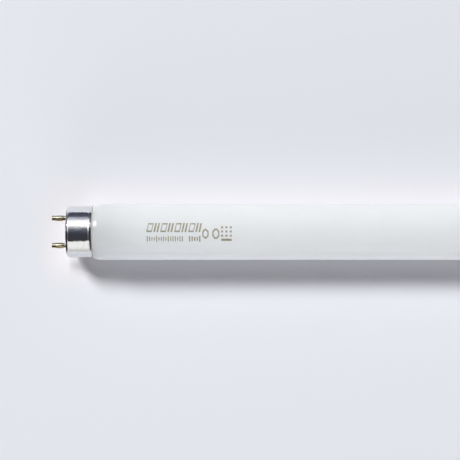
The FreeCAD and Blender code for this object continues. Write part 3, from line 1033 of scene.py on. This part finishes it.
studio = {
    "background": (0.94, 0.95, 0.98, 1.0),
    "rearAmbient": (0.025, 0.025, 0.028, 1.0),
    "frontAmbient": (0.138, 0.138, 0.150, 1.0),
    "ambientSpan": (0.35, -0.25),             # from rear to front, along Y
    "frontGlow": (3.9, 3.9, 3.95, 1.0),       # soft light low down on the front side
    "glowSpan": (-0.80, -0.985),              # where it starts and is full, along Y
    "leftSpan": (-0.28, -0.38),               # the same for each side's bands, along X
    "wallSpan": (-0.62, -0.72),
    "rightSpan": (0.04, 0.14),
    "keyDirection": (-0.509, 0.53, 0.687),
    "keyDistance": 12.0,
    "keySize": 3.1,
    "keyPower": 1469.0,
    # What polished metal reflects, by the angle from straight up towards +Y, in degrees
    "bands": [
        (-89, (0.60, 0.60, 0.585)),
        (-83, (0.80, 0.80, 0.77)),
        (-70, (0.96, 0.96, 0.93)),
        (-45, (0.99, 0.99, 0.96)),
        (-41, (0.045, 0.045, 0.050)),
        (-12, (0.045, 0.048, 0.062)),
        (0, (0.065, 0.07, 0.09)),
        (8, (0.14, 0.15, 0.18)),
        (16, (0.31, 0.33, 0.37)),
        (23, (0.66, 0.68, 0.72)),
        (28, (1.3, 1.3, 1.3)),
        (49, (1.3, 1.3, 1.3)),
        (57, (0.64, 0.65, 0.71)),
        (66, (0.40, 0.42, 0.48)),
        (73, (0.10, 0.11, 0.15)),
        (84, (0.07, 0.075, 0.10)),
        (100, (0.07, 0.075, 0.10)),
    ],
    # The same for what leans towards the left, where the key stands
    "leftBands": [
        (-90, (0.85, 0.85, 0.82)),
        (-45, (0.85, 0.85, 0.82)),
        (-40, (0.10, 0.10, 0.115)),
        (-20, (0.15, 0.155, 0.18)),
        (-6, (0.20, 0.21, 0.24)),
        (6, (0.60, 0.61, 0.64)),
        (13, (1.2, 1.2, 1.2)),
        (58, (1.2, 1.2, 1.2)),
        (65, (0.45, 0.45, 0.49)),
        (72, (0.10, 0.10, 0.13)),
    ],
    # The same for what leans towards the right, away from the key
    "rightBands": [
        (-90, (0.03, 0.03, 0.035)),
        (16, (0.03, 0.032, 0.04)),
        (25, (0.62, 0.63, 0.64)),
        (42, (0.62, 0.63, 0.64)),
        (52, (0.12, 0.125, 0.14)),
        (90, (0.08, 0.085, 0.10)),
    ],
    # The dark wall far to the left, paler high up on the rear side
    "wallBands": [
        (-100, (0.03, 0.032, 0.04)),
        (5, (0.03, 0.032, 0.04)),
        (20, (0.20, 0.20, 0.22)),
        (60, (0.34, 0.34, 0.37)),
        (100, (0.30, 0.30, 0.33)),
    ],
}


def bandColours(tree, place, bands):
    return rampNode(tree, place, [((degrees + 180) / 360, colour) for degrees, colour in bands])


def makeWorld():
    world = bpy.data.worlds.new("studio")
    bpy.context.scene.world = world
    world.use_nodes = True
    tree = world.node_tree
    tree.nodes.clear()
    x, y, z = splitVector(tree, addNode(tree, "ShaderNodeTexCoord").outputs["Generated"])
    place = rangeNode(tree, mathNode(tree, "ARCTAN2", y, z), -pi, pi, 0.0, 1.0)
    colour = bandColours(tree, place, studio["bands"])
    for side in ("left", "wall", "right"):
        share = rangeNode(tree, x, *studio[f"{side}Span"], 0.0, 1.0)
        colour = mixColour(tree, share, colour, bandColours(tree, place, studio[f"{side}Bands"]))
    ahead = rangeNode(tree, y, *studio["ambientSpan"], 0.0, 1.0, smooth=True)
    soft = mixColour(tree, ahead, studio["rearAmbient"], studio["frontAmbient"])
    glow = rangeNode(tree, y, *studio["glowSpan"], 0.0, 1.0, smooth=True)
    soft = mixColour(tree, glow, soft, studio["frontGlow"])
    rays = addNode(tree, "ShaderNodeLightPath").outputs
    shown = mixColour(tree, rays["Is Glossy Ray"], soft, colour)
    for ray in ("Is Camera Ray", "Is Transmission Ray"):
        shown = mixColour(tree, rays[ray], shown, studio["background"])
    background = addNode(tree, "ShaderNodeBackground", {0: shown})
    addNode(tree, "ShaderNodeOutputWorld", {0: background.outputs[0]})


makeWorld()

viewpoint = {
    "height": 0.8,          # above the tube's axis
    "axisPixel": 231.9,     # row of the tube's axis in the photograph
    "facePixel": 67.3,      # column of the left cap's face
    "scale": 2.15,          # pixels for a millimetre, level with the axis
    "frame": 460.0,         # width and height of the photograph, in pixels
    "sensor": 36.0,
    "clip": (0.01, 50.0),
}


def makeCamera():
    middle = viewpoint["frame"] / 2
    acrossX = (middle - viewpoint["facePixel"]) / viewpoint["scale"] * mm
    acrossY = (viewpoint["axisPixel"] - middle) / viewpoint["scale"] * mm
    width = viewpoint["frame"] / viewpoint["scale"] * mm
    data = bpy.data.cameras.new("camera")
    data.sensor_width = viewpoint["sensor"]
    data.lens = viewpoint["sensor"] * viewpoint["height"] / width
    data.clip_start, data.clip_end = viewpoint["clip"]
    camera = bpy.data.objects.new("camera", data)
    camera.location = (-capFace + acrossX, acrossY, viewpoint["height"])
    bpy.context.scene.collection.objects.link(camera)
    bpy.context.scene.camera = camera
    return camera


camera = makeCamera()


def makeKey():
    data = bpy.data.lights.new("key", "AREA")
    data.shape = "SQUARE"
    data.size = studio["keySize"]
    data.energy = studio["keyPower"]
    lamp = bpy.data.objects.new("key", data)
    target = Vector((camera.location.x, 0.0, 0.0))
    direction = Vector(studio["keyDirection"]).normalized()
    lamp.location = target + direction * studio["keyDistance"]
    lamp.rotation_mode = "QUATERNION"
    lamp.rotation_quaternion = direction.to_track_quat("Z", "Y")
    bpy.context.scene.collection.objects.link(lamp)


makeKey()

# Small dark flags beside the pins, which only polished metal sees: they paint dark reflections into the pins
flags = {
    "distance": 5.0 * mm,
    "outer": 13.0 * mm,       # from the cap face
    # Where each starts along the pin in millimetres, and its reach in degrees from straight up towards -Y
    "spans": {"long": (0.4, 10.0, 64.0), "tip": (4.8, 62.0, 82.0), "back": (0.6, -162.0, -112.0)},
    "colour": (0.012, 0.010, 0.008, 1.0),
}


def makeFlag(name, way, hand, inner, low, high):
    near, far, gap = inner * mm, flags["outer"], flags["distance"]
    corners = []
    for outwards, lean in ((near, low), (far, low), (far, high), (near, high)):
        angle = radians(lean)
        y = pinOffset * hand - gap * sin(angle)
        corners.append(((capFace + outwards) * way, y, gap * cos(angle)))
    mesh = bpy.data.meshes.new(name)
    mesh.from_pydata(corners, [], [(0, 1, 2, 3)])
    mesh.materials.append(darkReflectionFlag)
    flag = bpy.data.objects.new(name, mesh)
    bpy.context.scene.collection.objects.link(flag)
    for ray in ("camera", "diffuse", "transmission", "volume_scatter", "shadow"):
        setattr(flag, f"visible_{ray}", False)


darkReflectionFlag, flagTree, flagShader = newMaterial("darkReflectionFlag")
fill(flagTree, flagShader, {"Base Color": flags["colour"], "Roughness": 1.0, "Specular IOR Level": 0.0})
for end, way in ends.items():
    for side, hand in pinSides.items():
        for span, numbers in flags["spans"].items():
            makeFlag(f"flag_{span}_{end}_{side}", way, hand, *numbers)
bpy.context.scene.view_settings.view_transform = "Standard"
print("studio made")
